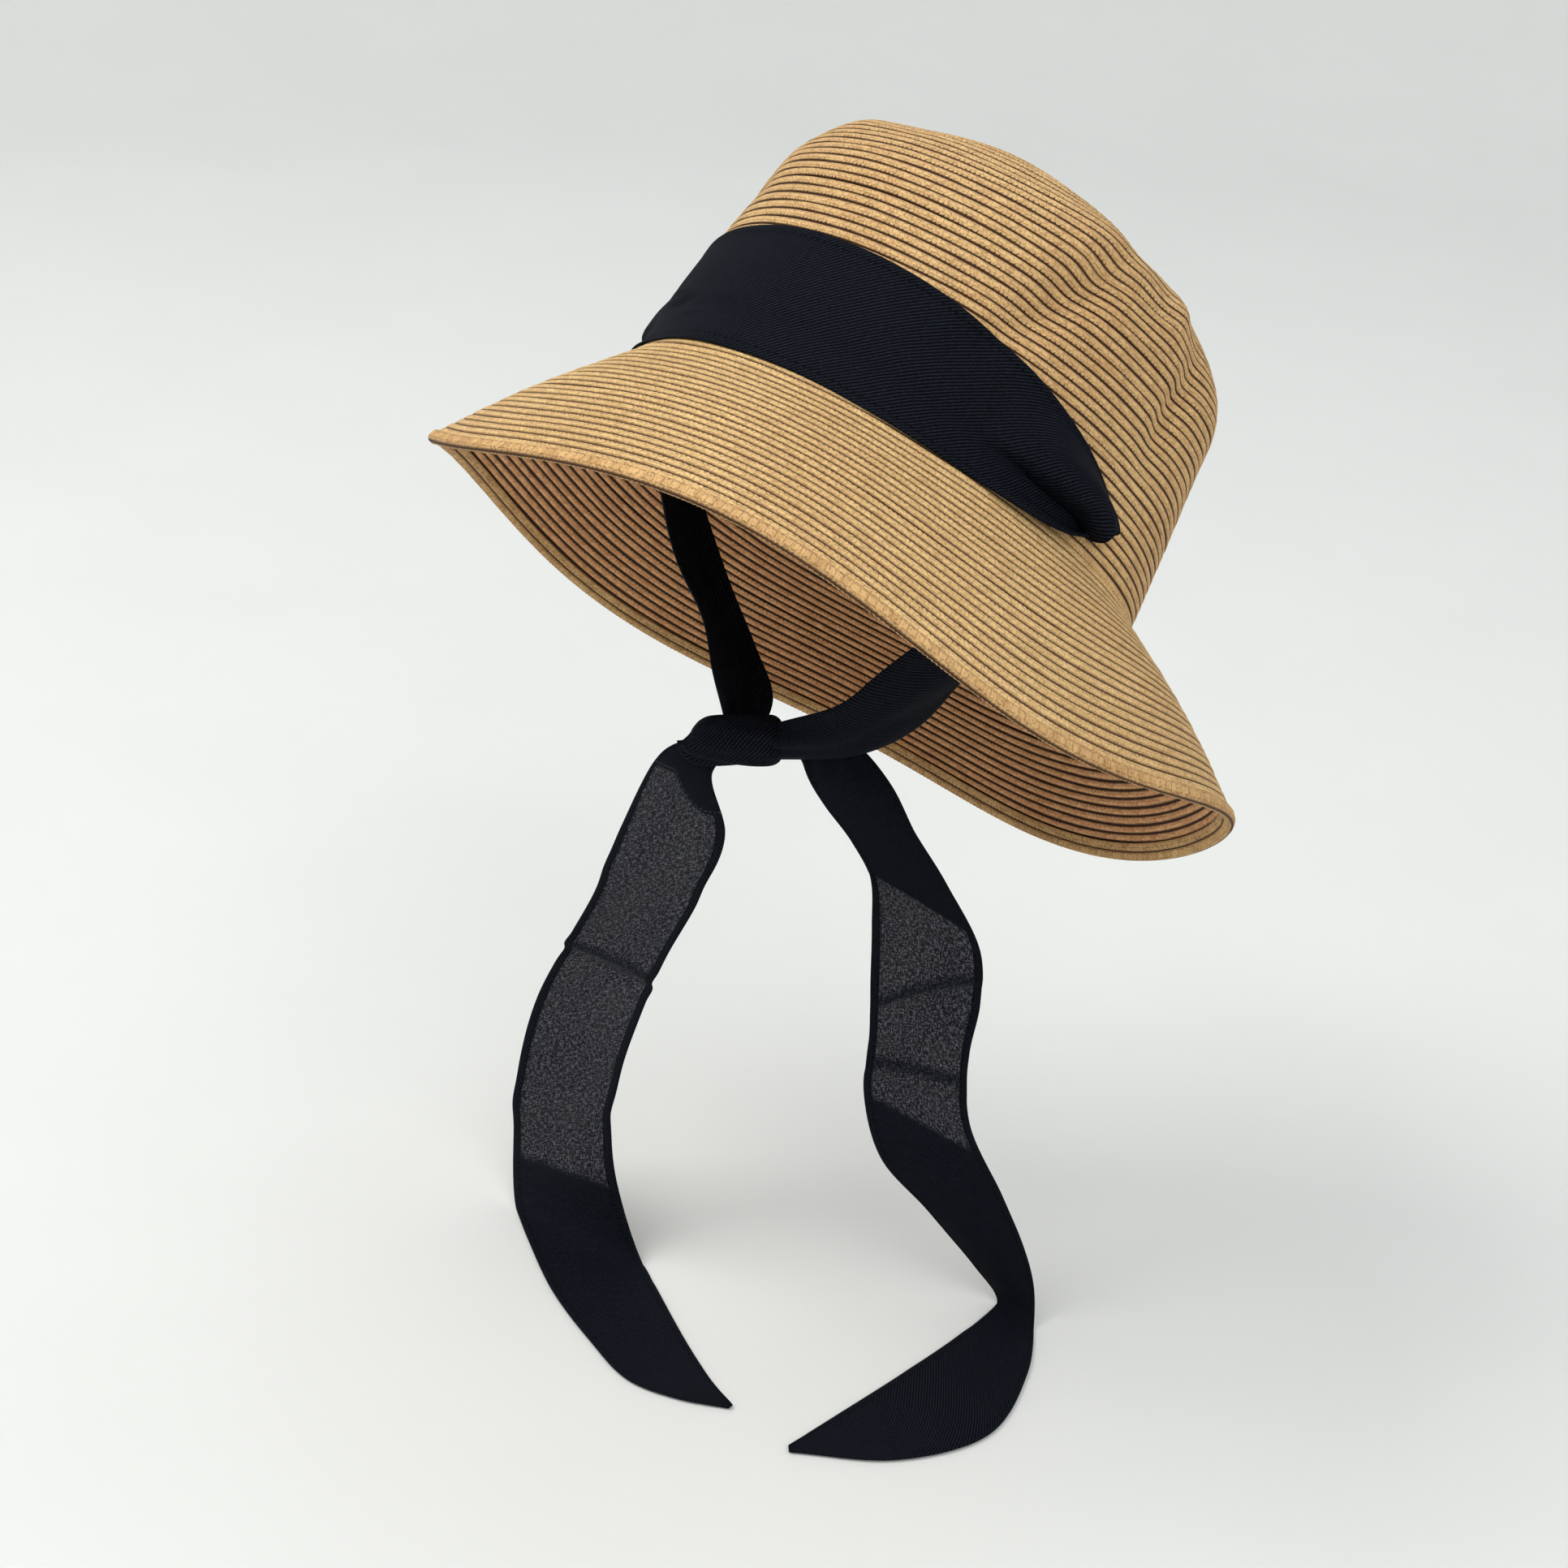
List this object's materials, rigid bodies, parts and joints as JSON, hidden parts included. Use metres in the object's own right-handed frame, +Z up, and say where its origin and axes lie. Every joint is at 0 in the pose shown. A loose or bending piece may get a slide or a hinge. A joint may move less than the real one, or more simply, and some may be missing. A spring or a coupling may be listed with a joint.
{
  "type": "straw sun hat with scarf ties",
  "caption": "Straw sun hat with a soft tapered crown, a drooping brim and a long dark scarf that crosses the front, passes through slits and ties under the chin.",
  "frame": {"origin": "centre of the head opening, in the plane where the crown meets the brim", "axes": "+Z up as worn, -Y the way the wearer looks, +X the wearer's left; the hat itself leans back 41.9 degrees about X, and the scarf hangs straight down"},
  "size_m": [0.2905, 0.2636, 0.4217],
  "materials": {
    "crown_straw": "sewn paper-straw braid, matt",
    "brim_straw": "sewn paper-straw braid, matt",
    "edge_straw": "folded paper-straw braid, matt",
    "wire": "thin spring wire",
    "sweatband": "woven tape",
    "scarf": "fine dark voile with opaque hems"
  },
  "bodies": {
    "hat": {"crown_tip": "crown_straw", "crown_shoulder": "crown_straw", "crown_side": "crown_straw", "brim": "brim_straw", "brim_edge_braid": "edge_straw", "brim_edge_wire": "wire", "wire_joiner": "wire", "sweatband": "sweatband", "scarf_band": "scarf", "scarf_pass_left": "scarf", "scarf_pass_right": "scarf"},
    "chin_loop": {"chin_strap_left": "scarf", "chin_strap_right": "scarf", "knot_wrap": "scarf", "knot_core": "scarf"},
    "left_tail": {"tail_left": "scarf"},
    "right_tail": {"tail_right": "scarf"}
  },
  "joints": [
    {"name": "chin_loop_swing", "type": "hinge", "parent": "hat", "child": "chin_loop", "pos_m": [0, -0.022, 0.01], "axis": [-1, 0, 0], "range_deg": [0, 30]},
    {"name": "left_tail_swing", "type": "hinge", "parent": "chin_loop", "child": "left_tail", "pos_m": [0.019, -0.035, -0.082], "axis": [0.9375, 0.348, 0], "range_deg": [-20, 20]},
    {"name": "right_tail_swing", "type": "hinge", "parent": "chin_loop", "child": "right_tail", "pos_m": [-0.028, -0.0605, -0.084], "axis": [0.957, 0.29, 0], "range_deg": [-20, 20]}
  ]
}
